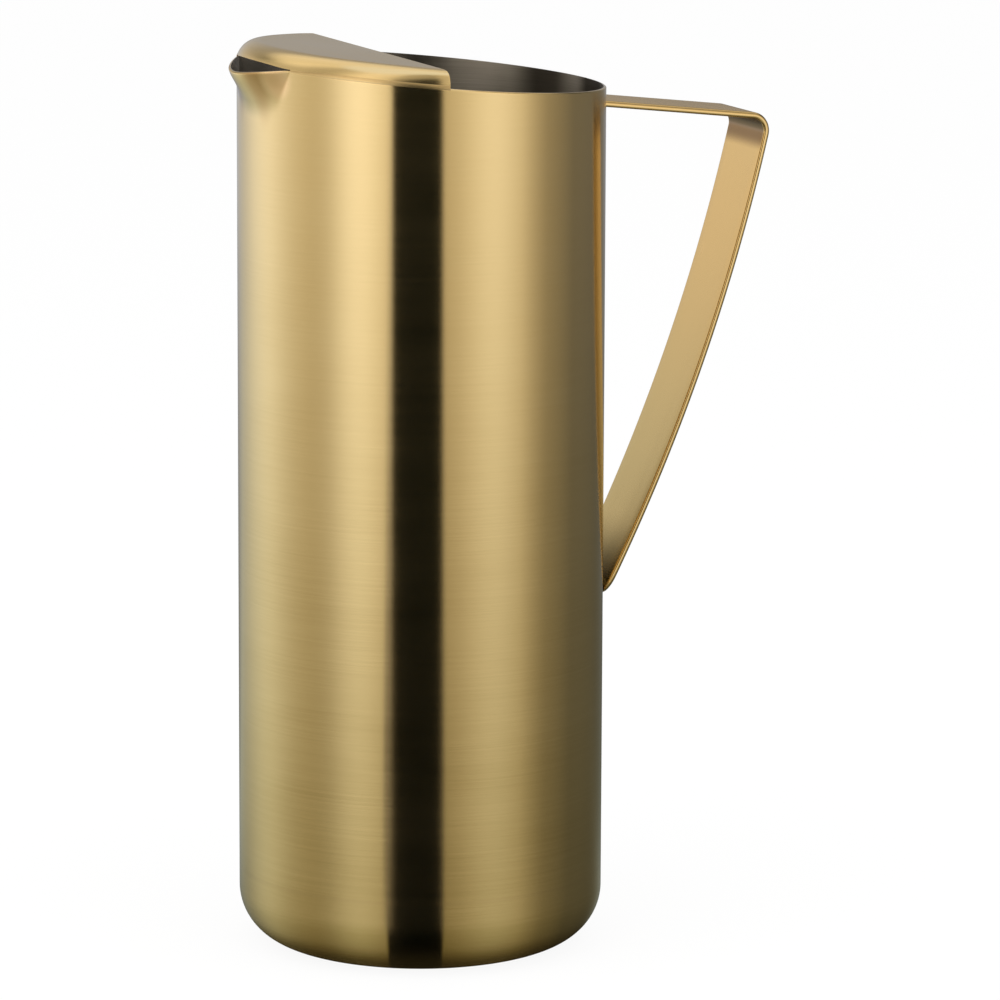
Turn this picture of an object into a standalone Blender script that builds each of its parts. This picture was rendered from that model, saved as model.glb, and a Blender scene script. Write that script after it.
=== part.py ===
"""Water pitcher: rolled steel tube with a pulled spout, drawn base pan, ice guard and bent strap handle.

Metres, +Z up. The origin is the middle of the flat underside, the spout points to -X and the handle to +X.
"""
import math

import bpy
import numpy as np
from mathutils import Matrix

# Sheet, tube and rim
GAP = 0.0003                       # air between two pieces that meet
WALL = 0.0008                      # sheet of the tube, the pan and the guard
BODY_RADIUS = 0.0525               # outside of the tube
RIM_HEIGHT = 0.2531                # rim above the table, on the axis
RIM_TILT = math.radians(5.1)       # the rim falls towards the handle
SEAM_WIDTH = 0.0012                # dressed weld that fills the tube's side seam and the base seam

# Base pan
BASE_CORNER = 0.016                # outside radius between the underside and the wall
GIRTH_HEIGHT = 0.0226              # middle of the weld between pan and tube

# Spout, pulled out of the rim
SPOUT_HALF_WIDTH = 0.0213          # along the rim, from the middle to the crease
SPOUT_DEPTH = 0.014                # down the wall, from the rim to where the pull fades out
SPOUT_REACH = 0.0055               # tip beyond the tube
SPOUT_DROP = 0.0019                # tip below the plane of the rim
SPOUT_NOSE = 0.18                  # rounding of the tip, as a share of the way to the crease

# Ice guard
GUARD_RISE = 0.0048                # top of the guard above the plane of the rim
GUARD_ROUND = 0.0045               # width of the rounded skirt, seen from above
GUARD_CHORD = 0.0138               # straight open edge, from the axis towards the spout
GUARD_BEAD = 0.0007                # thickness of the weld between skirt and rim
BEAD_START = math.radians(1.5)     # guard weld stops this short of the crease and of the open edge

# Handle
STRAP_WIDTH = 0.0235
STRAP_THICKNESS = 0.0018
STRAP_EASE = 0.0006                # rounding of the strap's long edges
HANDLE_DROP = 0.0053               # top of the strap below the rim, at the wall
HANDLE_FALL = math.radians(6.9)    # the top run falls outwards
HANDLE_REACH = 0.0545              # from the wall to the sharp outer corner of the bend
HANDLE_BEND = 0.0028               # inside radius of the bend
GRIP_LEAN = math.radians(13.6)     # lean of the grip from upright, just under the bend
GRIP_BOW = 0.540                   # radius of the grip's outer face
FILLET_BEAD = 0.0016               # thickness of the weld runs at the strap's ends

# Fineness of the meshes
SEGMENTS = 72                      # round the axis
ARC_STEPS = 6                      # along a rounded corner
BEND_STEPS = 12                    # round the handle's bend
GRIP_STEPS = 12                    # along the grip
SPOUT_COLUMNS = 20                 # across the spout
TUBE_COLUMNS = 82                  # round the whole sheet
SPOUT_ROWS = 8                     # down the spout
TUBE_ROWS = 11                     # down the whole sheet
BEAD_POINTS = 13                   # along a weld run
BEAD_STEPS = 2                     # round a quarter of a weld run
EASE_STEPS = 2                     # across an eased edge
MERGE = 0.00001                    # points closer than this are one point
SHARP = math.radians(35)           # edges that turn more than this stay crisp
EASED = math.radians(60)           # edges that turn more than this are eased

# Finishes: colour and roughness
SHEET_GOLD = ((0.72, 0.54, 0.27), 0.32)
STRAP_GOLD = ((0.72, 0.55, 0.29), 0.34)
SEAM_GOLD = ((0.66, 0.50, 0.26), 0.38)

# Sizes that follow from the ones above
RIM_FALL = math.tan(RIM_TILT)
SEAM_GAP = SEAM_WIDTH / 2 + GAP    # half of the slot that a dressed weld fills
GUARD_SEAT = GUARD_BEAD + 2 * GAP  # edge of the guard's skirt above the rim
TUBE_FOOT = GIRTH_HEIGHT + SEAM_GAP
SPOUT_ANGLE = SPOUT_HALF_WIDTH / BODY_RADIUS
STRAP_TOP = RIM_HEIGHT - BODY_RADIUS * RIM_FALL - HANDLE_DROP
STRAP_SLOPE = math.tan(HANDLE_FALL)
BEND_OUTSIDE = HANDLE_BEND + STRAP_THICKNESS
BEND_TURN = math.pi / 2 - HANDLE_FALL + GRIP_LEAN
BEND_SETBACK = BEND_OUTSIDE * math.tan(BEND_TURN / 2)  # from the sharp corner to either end of the bend
CORNER = (BODY_RADIUS + HANDLE_REACH, STRAP_TOP - HANDLE_REACH * STRAP_SLOPE)
GRIP_CENTRE = (CORNER[0] - BEND_SETBACK * math.sin(GRIP_LEAN) - GRIP_BOW * math.cos(GRIP_LEAN),
               CORNER[1] - BEND_SETBACK * math.cos(GRIP_LEAN) + GRIP_BOW * math.sin(GRIP_LEAN))


def rim_plane(x):
    """Height of the rim's plane at a distance x from the axis towards the handle."""
    return RIM_HEIGHT - RIM_FALL * x


def collection(name):
    """New collection in the scene."""
    made = bpy.data.collections.new(name)
    bpy.context.scene.collection.children.link(made)
    return made


def add_object(name, data, home):
    """Object with the given mesh or curve, in the collection home, carried by the pitcher's empty."""
    obj = bpy.data.objects.new(name, data)
    home.objects.link(obj)
    obj.parent = root
    return obj


def finish(obj, metal_finish):
    """Give the object its own metal and smooth shading on its round faces."""
    colour, roughness = metal_finish
    metal = bpy.data.materials.new(obj.name)
    metal.use_nodes = True
    shader = metal.node_tree.nodes["Principled BSDF"]
    shader.inputs["Base Color"].default_value = (*colour, 1.0)
    shader.inputs["Metallic"].default_value = 1.0
    shader.inputs["Roughness"].default_value = roughness
    obj.data.materials.append(metal)
    if obj.type == "MESH":
        obj.data.shade_smooth()
        obj.data.set_sharp_from_angle(angle=SHARP)
    return obj


def baked(obj):
    """Replace an object's curve or modifiers by the plain mesh that they make."""
    graph = bpy.context.evaluated_depsgraph_get()
    mesh = bpy.data.meshes.new_from_object(obj.evaluated_get(graph))
    name = obj.name
    place = obj.matrix_world.copy()
    home = obj.users_collection[0]
    bpy.data.objects.remove(obj)
    mesh.transform(place)
    return add_object(name, mesh, home)


def arc(centre, radii, start, end, steps=ARC_STEPS):
    """Points (x, z) along an elliptical arc, both ends included."""
    turns = [start + (end - start) * i / steps for i in range(steps + 1)]
    return [(centre[0] + radii[0] * math.cos(t), centre[1] + radii[1] * math.sin(t)) for t in turns]


def turned(name, profile, closed=False):
    """Turn an (x, z) profile once round the axis. It runs down the outer side."""
    count = len(profile)
    edges = [(i, (i + 1) % count) for i in range(count if closed else count - 1)]
    mesh = bpy.data.meshes.new(name)
    mesh.from_pydata([(x, 0.0, z) for x, z in profile], edges, [])
    obj = add_object(name, mesh, parts)
    screw = obj.modifiers.new("turn", "SCREW")
    screw.steps = screw.render_steps = SEGMENTS
    screw.use_merge_vertices = True
    screw.merge_threshold = MERGE
    return baked(obj)


def weld_run(name, points, thickness):
    """Round bead of the given thickness along a row of (x, y, z) points."""
    curve = bpy.data.curves.new(name, "CURVE")
    curve.dimensions = "3D"
    curve.bevel_depth = thickness / 2
    curve.bevel_resolution = BEAD_STEPS
    curve.use_fill_caps = True
    spline = curve.splines.new("POLY")
    spline.points.add(len(points) - 1)
    for point, place in zip(spline.points, points):
        point.co = (*place, 1.0)
    finish(add_object(name, curve, parts), SEAM_GOLD)


def cut_by_new_object(obj, name):
    """Cut obj with the object that was just made, which becomes a cutter and stays out of the picture."""
    cutter = bpy.context.object
    cutter.name = name
    for home in list(cutter.users_collection):
        home.objects.unlink(cutter)
    cutters.objects.link(cutter)
    cutter.parent = root
    cutter.hide_render = True
    cutter.display_type = "WIRE"
    cut = obj.modifiers.new(name, "BOOLEAN")
    cut.operation = "DIFFERENCE"
    cut.solver = "EXACT"
    cut.object = cutter


def spout_pull(across, down):
    """Share of the spout's full reach at a point of the wall.

    across and down are the distances along the rim and below it, measured in half widths and depths of the
    spout. The pull is 1 at the tip and falls along straight lines to 0 on the crease, with a rounded tip.
    """
    away = math.hypot(math.hypot(across, down), SPOUT_NOSE) - SPOUT_NOSE
    edge = math.hypot(1.0, SPOUT_NOSE) - SPOUT_NOSE
    return max(0.0, 1.0 - away / edge)


def body_tube():
    """Flat sheet, rolled round the axis with its two long edges at the side seam, its spout pulled out."""
    bpy.ops.mesh.primitive_grid_add(x_subdivisions=TUBE_COLUMNS, y_subdivisions=TUBE_ROWS, size=2.0)
    sheet = bpy.context.object
    mesh = sheet.data
    bpy.data.objects.remove(sheet)
    mesh.name = "body_tube"
    seam_turn = SEAM_GAP / BODY_RADIUS
    spout_share = SPOUT_COLUMNS / TUBE_COLUMNS
    row_share = 1.0 - 2.0 * SPOUT_ROWS / TUBE_ROWS
    turns = (seam_turn, math.pi - SPOUT_ANGLE, math.pi + SPOUT_ANGLE, 2 * math.pi - seam_turn)
    for vertex in mesh.vertices:
        turn = np.interp(vertex.co.x, (-1.0, -spout_share, spout_share, 1.0), turns)
        top = rim_plane(BODY_RADIUS * math.cos(turn))
        height = np.interp(vertex.co.y, (-1.0, row_share, 1.0), (TUBE_FOOT, top - SPOUT_DEPTH, top))
        pull = spout_pull((turn - math.pi) / SPOUT_ANGLE, (top - height) / SPOUT_DEPTH)
        radius = BODY_RADIUS + SPOUT_REACH * pull
        vertex.co = (radius * math.cos(turn), radius * math.sin(turn), height - SPOUT_DROP * pull)
    tube = finish(add_object("body_tube", mesh, parts), SHEET_GOLD)
    wall = tube.modifiers.new("wall", "SOLIDIFY")
    wall.thickness = WALL
    wall.offset = -1.0
    wall.use_even_offset = True


def side_seam_weld():
    """Dressed strip between the two edges of the rolled sheet, from the base seam to the rim."""
    top = rim_plane(BODY_RADIUS)
    bpy.ops.mesh.primitive_cube_add(size=1.0)
    block = bpy.context.object
    mesh = block.data
    bpy.data.objects.remove(block)
    mesh.name = "side_seam_weld"
    size = Matrix.Diagonal((WALL, SEAM_WIDTH, top - TUBE_FOOT, 1.0))
    place = Matrix.Translation((BODY_RADIUS - WALL / 2, 0.0, (top + TUBE_FOOT) / 2))
    mesh.transform(place @ size)
    finish(add_object("side_seam_weld", mesh, parts), SEAM_GOLD)


def base_pan():
    """Drawn pan: flat underside, rounded corner and a short straight wall up to the base seam."""
    top = GIRTH_HEIGHT - SEAM_GAP
    corner = (BODY_RADIUS - BASE_CORNER, BASE_CORNER)
    inner = BASE_CORNER - WALL
    profile = [(0.0, WALL)]
    profile += arc(corner, (inner, inner), -math.pi / 2, 0.0)
    profile += [(BODY_RADIUS - WALL, top), (BODY_RADIUS, top)]
    profile += arc(corner, (BASE_CORNER, BASE_CORNER), 0.0, -math.pi / 2)
    profile += [(0.0, 0.0)]
    finish(turned("base_pan", profile), SHEET_GOLD)


def base_girth_weld():
    """Dressed ring between the pan's wall and the foot of the tube."""
    low, high = GIRTH_HEIGHT - SEAM_WIDTH / 2, GIRTH_HEIGHT + SEAM_WIDTH / 2
    inside = BODY_RADIUS - WALL
    profile = [(inside, low), (inside, high), (BODY_RADIUS, high), (BODY_RADIUS, low)]
    finish(turned("base_girth_weld", profile, closed=True), SEAM_GOLD)


def ice_guard():
    """Pressed cap with a rounded skirt, leaned with the rim and cut along a straight open edge."""
    hub = (BODY_RADIUS - GUARD_ROUND, GUARD_SEAT)
    outer = (GUARD_ROUND, GUARD_RISE - GUARD_SEAT)
    inner = (outer[0] - WALL, outer[1] - WALL)
    profile = [(0.0, GUARD_RISE)]
    profile += arc(hub, outer, math.pi / 2, 0.0)
    profile += arc(hub, inner, 0.0, math.pi / 2)
    profile += [(0.0, GUARD_RISE - WALL)]
    cap = turned("ice_guard", profile)
    lean = Matrix.Translation((0.0, 0.0, RIM_HEIGHT))
    lean[2][0] = -RIM_FALL
    cap.data.transform(lean)
    finish(cap, SHEET_GOLD)

    span = 4 * BODY_RADIUS  # larger than the cap in every direction
    bpy.ops.mesh.primitive_cube_add(size=span, location=(span / 2 - GUARD_CHORD, 0.0, RIM_HEIGHT))
    cut_by_new_object(cap, "guard_open_edge")


def guard_welds():
    """Two thin runs on the rim under the guard's skirt, from the open edge to the spout's crease."""
    radius = BODY_RADIUS - WALL / 2
    lift = GAP + GUARD_BEAD / 2
    first = math.pi - math.acos(GUARD_CHORD / BODY_RADIUS) + BEAD_START
    last = math.pi - SPOUT_ANGLE - BEAD_START
    for name, side in (("guard_weld_left", 1), ("guard_weld_right", -1)):
        points = []
        for i in range(BEAD_POINTS):
            turn = first + (last - first) * i / (BEAD_POINTS - 1)
            x, y = radius * math.cos(turn), radius * math.sin(turn)
            points.append((x, side * y, rim_plane(x) + lift))
        weld_run(name, points, GUARD_BEAD)


def grip_turn(x, radius):
    """Angle below level at which a circle about the grip's centre passes the distance x from the axis."""
    return -math.acos((x - GRIP_CENTRE[0]) / radius)


def strap_path():
    """Outer face of the strap in the (x, z) plane, from inside the wall, round the bend and down the grip.

    Both ends run half a strap's width into the tube, deeper than the wall curves away across the strap.
    """
    start = BODY_RADIUS - STRAP_WIDTH / 2
    bend_centre = (CORNER[0] - BEND_SETBACK * math.cos(HANDLE_FALL) - BEND_OUTSIDE * math.sin(HANDLE_FALL),
                   CORNER[1] + BEND_SETBACK * math.sin(HANDLE_FALL) - BEND_OUTSIDE * math.cos(HANDLE_FALL))
    bend = arc(bend_centre, (BEND_OUTSIDE, BEND_OUTSIDE), math.pi / 2 - HANDLE_FALL, -GRIP_LEAN, BEND_STEPS)
    grip = arc(GRIP_CENTRE, (GRIP_BOW, GRIP_BOW), -GRIP_LEAN, grip_turn(start, GRIP_BOW), GRIP_STEPS)
    return [(start, STRAP_TOP + (BODY_RADIUS - start) * STRAP_SLOPE)] + bend + grip[1:]


def handle_strap():
    """One flat bar: a ribbon along the path, given its thickness, eased edges and ends cut to the wall."""
    path = strap_path()
    curve = bpy.data.curves.new("handle_strap", "CURVE")
    curve.dimensions = "2D"
    curve.fill_mode = "NONE"
    curve.extrude = STRAP_WIDTH / 2
    spline = curve.splines.new("POLY")
    spline.points.add(len(path) - 1)
    for point, (x, z) in zip(spline.points, path):
        point.co = (x, z, 0.0, 1.0)
    ribbon = add_object("handle_strap", curve, parts)
    ribbon.rotation_euler.x = math.pi / 2
    bpy.context.view_layer.update()
    strap = finish(baked(ribbon), STRAP_GOLD)
    thick = strap.modifiers.new("thickness", "SOLIDIFY")
    thick.thickness = STRAP_THICKNESS
    thick.offset = -1.0
    thick.use_even_offset = True
    ease = strap.modifiers.new("eased edges", "BEVEL")
    ease.width = STRAP_EASE
    ease.segments = EASE_STEPS
    ease.limit_method = "ANGLE"
    ease.angle_limit = EASED
    bpy.ops.mesh.primitive_cylinder_add(
        vertices=SEGMENTS, radius=BODY_RADIUS + GAP, depth=RIM_HEIGHT, location=(0.0, 0.0, RIM_HEIGHT / 2))
    cut_by_new_object(strap, "strap_end_cut")


def handle_welds():
    """Four fillet runs across the strap: above and below its top end, inside and outside its foot."""
    bead = FILLET_BEAD / 2
    off = GAP + bead
    half = STRAP_WIDTH / 2 - STRAP_EASE - bead

    def top_run(x, rise):
        return STRAP_TOP - (x - BODY_RADIUS) * STRAP_SLOPE + rise / math.cos(HANDLE_FALL)

    def foot(x, radius):
        return GRIP_CENTRE[1] + radius * math.sin(grip_turn(x, radius))

    runs = (("handle_upper_weld_top", top_run, off),
            ("handle_upper_weld_under", top_run, -STRAP_THICKNESS - off),
            ("handle_lower_weld_inner", foot, GRIP_BOW - STRAP_THICKNESS - off),
            ("handle_lower_weld_outer", foot, GRIP_BOW + off))
    for name, height, offset in runs:
        points = []
        for i in range(BEAD_POINTS):
            y = half * (2 * i / (BEAD_POINTS - 1) - 1)
            x = math.sqrt((BODY_RADIUS + off) ** 2 - y ** 2)
            points.append((x, y, height(x, offset)))
        weld_run(name, points, FILLET_BEAD)


for old in list(bpy.data.objects):
    bpy.data.objects.remove(old)

parts = collection("water_pitcher")
cutters = collection("pitcher_cutters")
root = bpy.data.objects.new("pitcher_root", None)
parts.objects.link(root)

body_tube()
side_seam_weld()
base_pan()
base_girth_weld()
ice_guard()
guard_welds()
handle_strap()
handle_welds()
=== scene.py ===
"""Looks of the water pitcher: brushed gold-coloured sheet, bare steel inside, a strap handle and its welds.

Metres, in the frame of the solids: +Z up, the spout to -X, the handle to +X, the table at height 0.
"""
import math

import bmesh
import bpy
import numpy as np
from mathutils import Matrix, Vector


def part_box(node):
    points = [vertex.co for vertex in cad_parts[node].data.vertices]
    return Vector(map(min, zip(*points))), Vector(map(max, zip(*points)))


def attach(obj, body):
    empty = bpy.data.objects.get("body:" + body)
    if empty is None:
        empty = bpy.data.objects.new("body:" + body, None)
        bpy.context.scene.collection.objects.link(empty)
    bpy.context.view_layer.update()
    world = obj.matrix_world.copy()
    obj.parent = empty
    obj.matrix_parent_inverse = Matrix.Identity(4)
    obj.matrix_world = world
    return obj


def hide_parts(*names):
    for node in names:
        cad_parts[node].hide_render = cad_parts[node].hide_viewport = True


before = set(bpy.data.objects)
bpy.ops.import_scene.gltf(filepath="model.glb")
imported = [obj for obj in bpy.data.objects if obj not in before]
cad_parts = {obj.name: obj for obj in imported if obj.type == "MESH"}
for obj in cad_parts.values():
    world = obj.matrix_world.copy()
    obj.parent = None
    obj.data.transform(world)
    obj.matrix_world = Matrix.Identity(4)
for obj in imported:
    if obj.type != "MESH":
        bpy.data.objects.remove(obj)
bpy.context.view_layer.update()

# Body tube
# Stainless sheet rolled round the axis, satin-brushed round and round outside and gold-coated, bare inside.
# Its slanted rim is eased by hand, and a spout is pulled out of it with a sharp crease at either side.
tube_low, tube_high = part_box("body_tube")
SHEET = 0.0008                                   # thickness of the sheet
TUBE_RADIUS = tube_high.x
GIRTH = (tube_low.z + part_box("base_pan")[1].z) / 2   # middle of the seam between tube and pan
SEAM = 0.0012                                    # width of a dressed seam
RIM_FALL = math.tan(math.radians(5.1))           # the rim falls towards the handle
RIM_ON_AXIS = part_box("side_seam_weld")[1].z + TUBE_RADIUS * RIM_FALL
LIP = 0.0004                                     # height of the rim's easing, all of it on the outside
SPOUT_HALF = 0.0198                              # along the wall, from the middle of the spout to its crease
SPOUT_ANGLE = SPOUT_HALF / TUBE_RADIUS
SPOUT_DEPTH = 0.0128                             # from the rim to where the pull fades out
SPOUT_REACH = -tube_low.x - TUBE_RADIUS          # tip beyond the tube
SPOUT_DROP = 0.0024                              # tip below the plane of the rim
SPOUT_NOSE = 0.24                                # rounding of the tip, as a share of the way to the crease
CREASE_TIGHT, CREASE_WIDE = 0.015, 0.15          # easing of the crease at the rim and at the spout's foot
CREASE_DRAW = 0.30                               # how far the creases draw together on the way down
FOOT_EASE = 0.25                                 # easing of the ridge's foot
SPOUT_FLARE = 0.45                               # how fast the pull fades down the wall
SPOUT_ZONE = 1.4                                 # the fine part of the grid, in spout sizes
WALL_COLUMNS, SPOUT_COLUMNS = 120, 150           # beside the spout, and across it
WALL_ROWS, SPOUT_ROWS, RIM_STEPS = 12, 60, 7     # up the wall, up the spout, and over the rim


def rim_height(x):
    """Height of the rim's plane at a distance x from the axis towards the handle."""
    return RIM_ON_AXIS - RIM_FALL * x


def unit(vectors):
    """The same vectors, each of length one."""
    return vectors / np.linalg.norm(vectors, axis=-1, keepdims=True)


def spout_pull(across, down):
    """Share of the spout's reach: a ridge under the tip with a flank at either side of it.

    across and down are counted in half widths and depths of the spout. Ridge and flanks run straight from the
    tip, where they are rounded, to nothing, and a parabola eases their end, tight at the creases and wide at
    the foot. The creases draw together down the wall, and the pull fades on the way, so that the lip flares.
    """
    def straight(away, ease):
        """Straight from 1 at nought to 0 at one, rounded at its start and eased at its end."""
        left = 1 - (np.hypot(away, SPOUT_NOSE) - SPOUT_NOSE) / (math.hypot(1, SPOUT_NOSE) - SPOUT_NOSE)
        return np.where(left > ease, left, np.clip(left + ease, 0, None) ** 2 / (4 * ease))

    low = np.clip(down, 0, 1)
    crease_ease = CREASE_TIGHT + (CREASE_WIDE - CREASE_TIGHT) * low ** 2
    flank = straight(across / (1 - CREASE_DRAW * low), crease_ease)
    return flank * straight(down, FOOT_EASE) * np.exp(-SPOUT_FLARE * down)


def tube_wall():
    """Grid over the tube: turns round the axis by outline, up the outside, over the rim and down the inside.

    Radius = tube + reach x pull and height = height - drop x pull. The inside is the outside moved one sheet
    along the surface's normal, and the rim is a quarter of an ellipse from one to the other.
    """
    seam = SEAM / 2 / TUBE_RADIUS
    zone = SPOUT_ZONE * SPOUT_ANGLE
    turn = np.concatenate((
        np.linspace(seam, math.pi - zone, WALL_COLUMNS, endpoint=False),
        np.linspace(math.pi - zone, math.pi + zone, SPOUT_COLUMNS, endpoint=False),
        np.linspace(math.pi + zone, 2 * math.pi - seam, WALL_COLUMNS)))[:, None]
    top = rim_height(TUBE_RADIUS * np.cos(turn))
    foot = GIRTH + SEAM / 2
    spout_foot = top - SPOUT_ZONE * SPOUT_DEPTH
    height = np.concatenate((
        foot + (spout_foot - foot) * np.linspace(0, 1, WALL_ROWS, endpoint=False),
        spout_foot + (top - LIP - spout_foot) * np.linspace(0, 1, SPOUT_ROWS)), axis=1)
    pull = spout_pull((turn - math.pi) / SPOUT_ANGLE, (top - height) / SPOUT_DEPTH)
    radius = TUBE_RADIUS + SPOUT_REACH * pull
    outside = np.stack((radius * np.cos(turn), radius * np.sin(turn), height - SPOUT_DROP * pull), axis=-1)
    up = np.gradient(outside, axis=1)
    face = unit(np.cross(np.gradient(outside, axis=0), up))
    inside = outside - SHEET * face
    bend = np.linspace(0, math.pi / 2, RIM_STEPS + 1)[1:, None]
    rim = inside[:, -1:] + face[:, -1:] * SHEET * np.cos(bend) + unit(up[:, -1:]) * LIP * np.sin(bend)
    return np.concatenate((outside, rim, inside[:, ::-1]), axis=1)


SAME_POINT = 0.000002                            # points closer than this are merged
CRISP = math.radians(38)                         # edges that turn more than this stay crisp


def skin(name, points, finishes, others=(), ring=False):
    """Piece over a grid of points (stations, outline, 3), with a face between neighbours on both.

    The outline closes on itself. The stations close into a ring, or else the two end outlines are filled.
    others lists, for each finish after the first, the places on the outline whose faces take it. Points that
    fall on one another, as at a pole, become one point. Brushed gloss turns round the middle of a piece's
    texture space, so every piece takes the tube's.
    """
    stations, outline = points.shape[:2]
    number = np.arange(stations * outline).reshape(stations, outline)
    here, after = (number, np.roll(number, -1, axis=0)) if ring else (number[:-1], number[1:])
    faces = np.stack((here, after, np.roll(after, -1, axis=1), np.roll(here, -1, axis=1)), axis=-1)
    faces = faces.reshape(-1, 4).tolist()
    if not ring:
        faces += [number[0].tolist(), number[-1, ::-1].tolist()]
    mesh = bpy.data.meshes.new(name)
    mesh.from_pydata(points.reshape(-1, 3), [], faces)
    for finish in finishes:
        mesh.materials.append(finish)
    place = np.arange(len(faces)) % outline
    place[(stations if ring else stations - 1) * outline:] = -1
    finish_number = np.zeros(len(faces), np.int32)
    for finish, places in enumerate(others, 1):
        finish_number[np.isin(place, places)] = finish
    mesh.polygons.foreach_set("material_index", finish_number)
    form = bmesh.new()
    form.from_mesh(mesh)
    bmesh.ops.remove_doubles(form, verts=form.verts, dist=SAME_POINT)
    bmesh.ops.dissolve_degenerate(form, edges=form.edges, dist=SAME_POINT)
    form.to_mesh(mesh)
    form.free()
    mesh.shade_smooth()
    mesh.set_sharp_from_angle(angle=CRISP)
    mesh.use_auto_texspace = False
    mesh.texspace_location = (0, 0, tube_high.z / 2)
    mesh.texspace_size = (tube_high.z / 2,) * 3
    piece = bpy.data.objects.new(name, mesh)
    bpy.context.scene.collection.objects.link(piece)
    return piece


class Wire:
    """One output in a material's nodes. Sums and products of wires add Math nodes."""

    def __init__(self, tree, socket=None):
        self.tree = tree
        self.socket = socket

    def node(self, kind, settings=None, sockets=None, out=0):
        """Add a node of a kind, set its settings, fill or link its sockets, and give one of its outputs."""
        made = self.tree.nodes.new(kind)
        for key, value in (settings or {}).items():
            setattr(made, key, value)
        for key, value in (sockets or {}).items():
            if isinstance(value, Wire):
                self.tree.links.new(value.socket, made.inputs[key])
            else:
                made.inputs[key].default_value = value
        return Wire(self.tree, made.outputs[out] if made.outputs else None)

    def maths(self, operation, first, second):
        """Add a Math node on two wires or numbers."""
        return self.node("ShaderNodeMath", {"operation": operation}, {0: first, 1: second})

    def __add__(self, other):
        return self.maths("ADD", self, other)

    def __sub__(self, other):
        return self.maths("SUBTRACT", self, other)

    def __rsub__(self, other):
        return self.maths("SUBTRACT", other, self)

    def __mul__(self, other):
        return self.maths("MULTIPLY", self, other)

    __radd__ = __add__
    __rmul__ = __mul__


PATCHES = 22                                     # cloudy patches a metre
FINER = 4                                        # hairlines to a streak
STREAK_DETAIL, SOFT_DETAIL = 3.0, 2.0            # finer layers in the streaks, and in the rest
DETAIL_SHARE = 0.6                               # strength of each layer beside the one before
STREAK_TONE, HAIR_TONE = 0.5, 0.4                # how far streaks and hairlines shift the colour
STREAK_DULL, PATCH_DULL = 0.08, 0.05             # how far streaks and patches shift the roughness
BRUSH_STRENGTH, BRUSH_DEPTH = 0.2, 0.00004
HAIR_DEPTH = 0.5                                 # of a hairline, beside that of a streak


def brushed_metal(name, deep, pale, roughness, grain, blur_turn, anisotropy=1.0, mottle=0.6, relief=1.0,
                  hairs=1.0, painted_light=()):
    """Satin metal: long streaks, hairlines four times finer, and broad cloudy patches where hands polish it.

    Colour runs from deep to pale with streaks and patches, roughness follows them, and the streaks and
    hairlines are a few hundredths of a millimetre deep. Each patch of painted light and shade tints what lies
    near a point, or near a line along a direction that doesn't count: it is given by the point, how much each
    direction counts, the distances where it is full and gone, its colour and its share.
    """
    metal = bpy.data.materials.new(name)
    metal.use_nodes = True
    shader = metal.node_tree.nodes["Principled BSDF"]
    place = Wire(metal.node_tree).node("ShaderNodeTexCoord", out="Object")

    def noise(scale, detail):
        """Noise about nought, with so many lumps a metre along each axis."""
        spread = place.node("ShaderNodeMapping", {}, {"Vector": place, "Scale": scale})
        sockets = {"Vector": spread, "Scale": 1.0, "Detail": detail, "Roughness": DETAIL_SHARE}
        return place.node("ShaderNodeTexNoise", {}, sockets) - 0.5

    def tinted(share, under, over):
        """Colour under, with a share of the colour over."""
        return place.node("ShaderNodeMix", {"data_type": "RGBA"}, {0: share, 6: under, 7: over}, 2)

    streak = noise(grain, STREAK_DETAIL)
    hair = noise([FINER * streaks for streaks in grain], SOFT_DETAIL)
    patch = noise((PATCHES, PATCHES, 2 * PATCHES), SOFT_DETAIL)
    shade = 0.5 + STREAK_TONE * streak + HAIR_TONE * hairs * hair + mottle * patch
    colour = tinted(shade, (*deep, 1), (*pale, 1))
    # Patches of painted light and shade, mixed into the colour by their share.
    for point, counts, full, gone, tone, share in painted_light:
        middle = tuple(np.multiply(point, counts))
        flat = place.node("ShaderNodeVectorMath", {"operation": "MULTIPLY"}, {0: place, 1: counts})
        away = place.node("ShaderNodeVectorMath", {"operation": "DISTANCE"}, {0: flat, 1: middle}, "Value")
        painted_share = place.node("ShaderNodeMapRange", {"interpolation_type": "SMOOTHSTEP"}, {
            "Value": away, "From Min": gone, "From Max": full, "To Max": share})
        colour = tinted(painted_share, colour, (*tone, 1))
    dull = roughness + STREAK_DULL * streak + PATCH_DULL * patch
    brush = place.node("ShaderNodeBump", {}, {
        "Strength": BRUSH_STRENGTH, "Distance": BRUSH_DEPTH * relief,
        "Height": streak + HAIR_DEPTH * hairs * hair})
    for key, wire in (("Base Color", colour), ("Roughness", dull), ("Normal", brush)):
        metal.node_tree.links.new(wire.socket, shader.inputs[key])
    shader.inputs["Metallic"].default_value = 1.0
    shader.inputs["Anisotropic"].default_value = anisotropy
    shader.inputs["Anisotropic Rotation"].default_value = blur_turn
    return metal


GOLD_DEEP, GOLD_PALE = (0.74, 0.57, 0.29), (0.86, 0.69, 0.39)
STEEL_DEEP, STEEL_PALE = (0.30, 0.29, 0.28), (0.78, 0.76, 0.74)
SATIN = 0.185                                    # roughness of the brushed gold
BARE = 0.34                                      # roughness of the bare inside
GRAIN_LENGTH, GRAIN_FINE = 14, 2600              # streaks a metre along the brushing and across it
ROUND_THE_AXIS = (GRAIN_LENGTH, GRAIN_LENGTH, GRAIN_FINE)
UPRIGHT_BLUR = 0.25                              # quarter turn: gloss spreads across the brushing
RIDGE_PAINTED_SHADE, CREASE_PAINTED_HIGHLIGHT = (0.56, 0.37, 0.175), (1.0, 0.74, 0.45)   # painted shade beside the spout's ridge, and a painted highlight by its creases
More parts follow.
